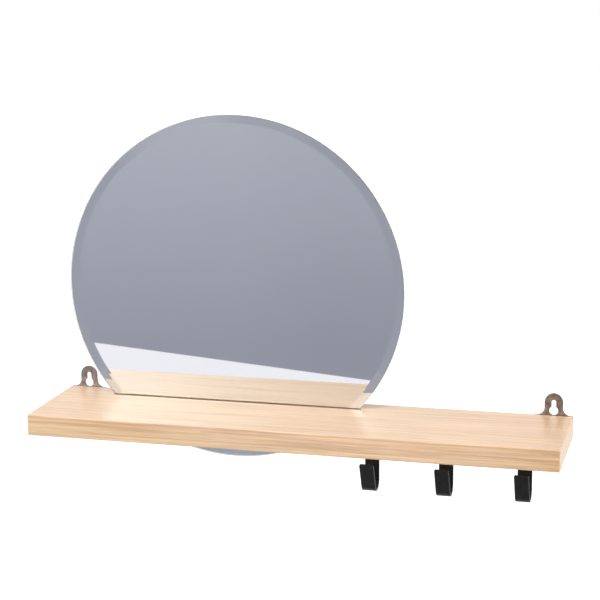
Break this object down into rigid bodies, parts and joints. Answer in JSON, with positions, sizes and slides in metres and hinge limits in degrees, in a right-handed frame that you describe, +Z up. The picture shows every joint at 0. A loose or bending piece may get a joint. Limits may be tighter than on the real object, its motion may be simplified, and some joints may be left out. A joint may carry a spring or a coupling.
{
  "type": "mirror with shelf",
  "caption": "Wall shelf of pale wood with a round bevelled mirror standing in a slot through the board, keyhole plates behind it and black hooks under it.",
  "frame": {"origin": "midway between the centres of the round holes of the two keyhole plates, on the plane of the wall", "axes": "+X along the board to the viewer's right, +Y from the front into the wall, +Z up"},
  "size_m": [0.6, 0.1355, 0.4057],
  "materials": {
    "board_wood": "pale straight-grained softwood, clear matt lacquer",
    "mirror_glass": "clear float glass, polished face and bevel",
    "mirror_silver": "silver film behind the glass",
    "back_paint": "grey protective paint on the back of the mirror",
    "hanger_steel": "bronze-grey plated sheet steel",
    "hanger_screw": "plated wood screw",
    "hook_black": "black satin coating on bent steel strip",
    "hook_screw": "black coated wood screw"
  },
  "bodies": {
    "shelf": {"shelf_board": "board_wood", "hanger_left": "hanger_steel", "hanger_right": "hanger_steel", "hanger_left_screw_outer": "hanger_screw", "hanger_left_screw_inner": "hanger_screw", "hanger_left_screw_low": "hanger_screw", "hanger_right_screw_outer": "hanger_screw", "hanger_right_screw_inner": "hanger_screw", "hanger_right_screw_low": "hanger_screw", "hook_left": "hook_black", "hook_left_screw_front": "hook_screw", "hook_left_screw_rear": "hook_screw", "hook_middle": "hook_black", "hook_middle_screw_front": "hook_screw", "hook_middle_screw_rear": "hook_screw", "hook_right": "hook_black", "hook_right_screw_front": "hook_screw", "hook_right_screw_rear": "hook_screw"},
    "mirror": {"mirror_glass": "mirror_glass", "mirror_silver": "mirror_silver", "mirror_back_paint": "back_paint"}
  },
  "joints": [
    {"name": "mirror_lift", "type": "slide", "parent": "shelf", "child": "mirror", "axis": [0, 0, 1], "range_m": [0, 0.075]}
  ]
}
